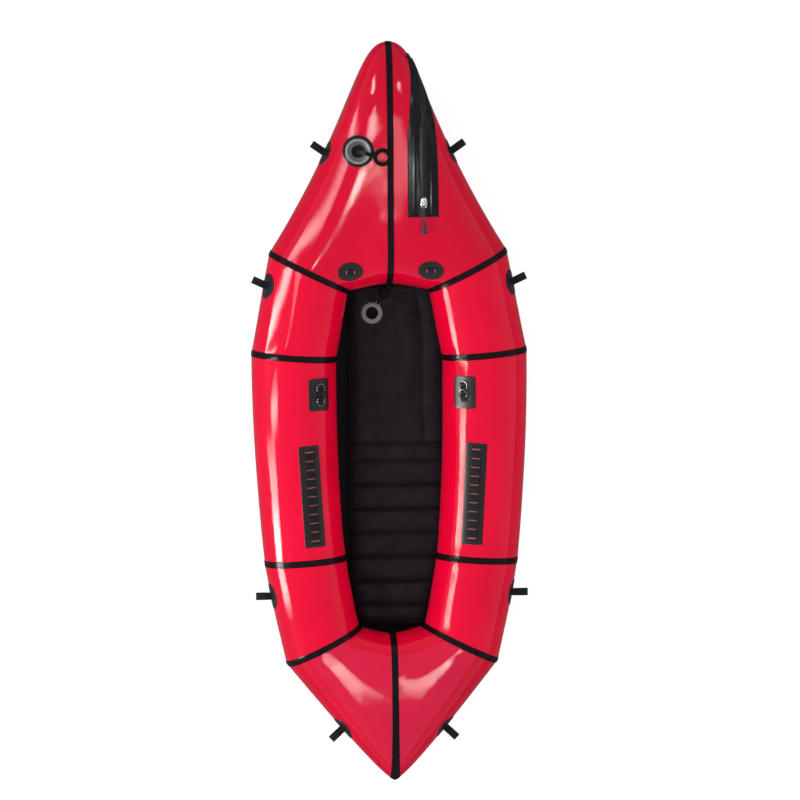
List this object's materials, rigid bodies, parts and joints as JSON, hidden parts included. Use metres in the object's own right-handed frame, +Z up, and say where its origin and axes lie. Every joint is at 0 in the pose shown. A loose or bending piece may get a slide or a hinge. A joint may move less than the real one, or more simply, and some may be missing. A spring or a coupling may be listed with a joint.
{
  "type": "packraft",
  "caption": "Single-seat inflatable packraft with pointed ends, cargo zip, inflation valve, tie-down loops and an inflatable floor mat.",
  "frame": {"origin": "on the ground under the middle of the boat's bounding box", "axes": "+Y towards the bow, +X towards starboard, +Z up"},
  "size_m": [0.9324, 2.5027, 0.3404],
  "materials": {
    "hull_fabric": "coated fabric, satin",
    "floor_fabric": "heavy coated fabric, matte",
    "seam_fabric": "coated tape, satin",
    "mat_fabric": "coated nylon, matte",
    "webbing": "woven, matte",
    "grey_plastic": "moulded, satin",
    "pale_plastic": "moulded, satin",
    "black_rubber": "moulded, matte",
    "steel": "stainless, polished"
  },
  "bodies": {
    "hull": {"bow_panel_starboard": "hull_fabric", "shoulder_panel_starboard": "hull_fabric", "side_panel_starboard": "hull_fabric", "quarter_panel_starboard": "hull_fabric", "stern_panel_starboard": "hull_fabric", "bow_panel_port": "hull_fabric", "shoulder_panel_port": "hull_fabric", "side_panel_port": "hull_fabric", "quarter_panel_port": "hull_fabric", "stern_panel_port": "hull_fabric", "shoulder_seam_tape_starboard": "seam_fabric", "shoulder_seam_tape_port": "seam_fabric", "side_seam_tape_starboard": "seam_fabric", "side_seam_tape_port": "seam_fabric", "quarter_seam_tape_starboard": "seam_fabric", "quarter_seam_tape_port": "seam_fabric", "stern_seam_tape_starboard": "seam_fabric", "stern_seam_tape_port": "seam_fabric", "bow_centre_tape": "seam_fabric", "stern_centre_tape": "seam_fabric", "floor_sheet": "floor_fabric", "floor_mat": "mat_fabric", "mat_valve_flange": "pale_plastic", "mat_valve_cup": "black_rubber", "valve_flange": "grey_plastic", "valve_body": "grey_plastic", "zip_tape": "seam_fabric", "zip_chain": "black_rubber", "bow_lashing_patch_starboard": "floor_fabric", "bow_lashing_webbing_starboard": "webbing", "bow_lashing_patch_port": "floor_fabric", "bow_lashing_webbing_port": "webbing", "tie_down_bow_starboard": "floor_fabric", "tie_down_bow_port": "floor_fabric", "tie_down_fore_starboard": "floor_fabric", "tie_down_fore_port": "floor_fabric", "tie_down_aft_starboard": "floor_fabric", "tie_down_aft_port": "floor_fabric", "tie_down_stern_starboard": "floor_fabric", "tie_down_stern_port": "floor_fabric", "d_ring_patch_starboard": "floor_fabric", "d_ring_keeper_starboard": "webbing", "d_ring_patch_port": "floor_fabric", "d_ring_keeper_port": "webbing", "ladder_patch_starboard": "floor_fabric", "ladder_webbing_starboard": "webbing", "ladder_patch_port": "floor_fabric", "ladder_webbing_port": "webbing"},
    "zip_slider": {"zip_slider": "steel"},
    "zip_pull_ring": {"zip_pull_ring": "steel"},
    "zip_toggle": {"zip_toggle": "black_rubber"},
    "valve_plug": {"valve_plug": "black_rubber"},
    "valve_pull_ring": {"valve_pull_ring": "black_rubber"},
    "valve_flap": {"valve_flap": "black_rubber"},
    "mat_valve_plug": {"mat_valve_plug": "black_rubber"},
    "d_ring_fore_port": {"d_ring_fore_port": "steel"},
    "d_ring_aft_port": {"d_ring_aft_port": "steel"},
    "d_ring_fore_starboard": {"d_ring_fore_starboard": "steel"},
    "d_ring_aft_starboard": {"d_ring_aft_starboard": "steel"}
  },
  "joints": [
    {"name": "zip_slide", "type": "slide", "parent": "hull", "child": "zip_slider", "axis": [0, 0.999, 0.0436], "range_m": [0, 0.215]},
    {"name": "zip_ring_swing", "type": "hinge", "parent": "zip_slider", "child": "zip_pull_ring", "pos_m": [0.11146, 0.71119, 0.32665], "axis": [-0.9969, -0.0034, 0.0784], "range_deg": [0, 100]},
    {"name": "zip_toggle_swing", "type": "hinge", "parent": "zip_pull_ring", "child": "zip_toggle", "pos_m": [0.11146, 0.69221, 0.32582], "axis": [-0.9969, -0.0034, 0.0784], "range_deg": [0, 70]},
    {"name": "valve_plug_pull", "type": "slide", "parent": "hull", "child": "valve_plug", "axis": [-0.1741, -0.0141, 0.9846], "range_m": [0, 0.014]},
    {"name": "valve_ring_lift", "type": "hinge", "parent": "valve_plug", "child": "valve_pull_ring", "pos_m": [-0.10884, 0.88593, 0.32419], "axis": [-0.2482, -0.967, -0.0578], "range_deg": [0, 100]},
    {"name": "valve_flap_open", "type": "slide", "parent": "hull", "child": "valve_flap", "axis": [0.1741, 0.0141, -0.9846], "range_m": [0, 0.004], "stiffness_N_per_m": 60, "springref_m": -0.002},
    {"name": "mat_plug_fold", "type": "hinge", "parent": "hull", "child": "mat_valve_plug", "pos_m": [-0.02936, 0.35107, 0.059], "axis": [0.848, -0.5299, 0], "range_deg": [0, 180]},
    {"name": "d_ring_fore_port_swing", "type": "hinge", "parent": "hull", "child": "d_ring_fore_port", "pos_m": [-0.23982, 0.07593, 0.27066], "axis": [0.8396, 0.0125, -0.5431], "range_deg": [0, 112]},
    {"name": "d_ring_aft_port_swing", "type": "hinge", "parent": "hull", "child": "d_ring_aft_port", "pos_m": [-0.23968, 0.04993, 0.27028], "axis": [-0.8396, -0.0125, 0.5431], "range_deg": [0, 112]},
    {"name": "d_ring_fore_starboard_swing", "type": "hinge", "parent": "hull", "child": "d_ring_fore_starboard", "pos_m": [0.23982, 0.07593, 0.27066], "axis": [0.8396, -0.0125, 0.5431], "range_deg": [0, 70]},
    {"name": "d_ring_aft_starboard_swing", "type": "hinge", "parent": "hull", "child": "d_ring_aft_starboard", "pos_m": [0.23968, 0.04993, 0.27028], "axis": [0.8396, -0.0125, 0.5431], "range_deg": [0, 160]}
  ]
}
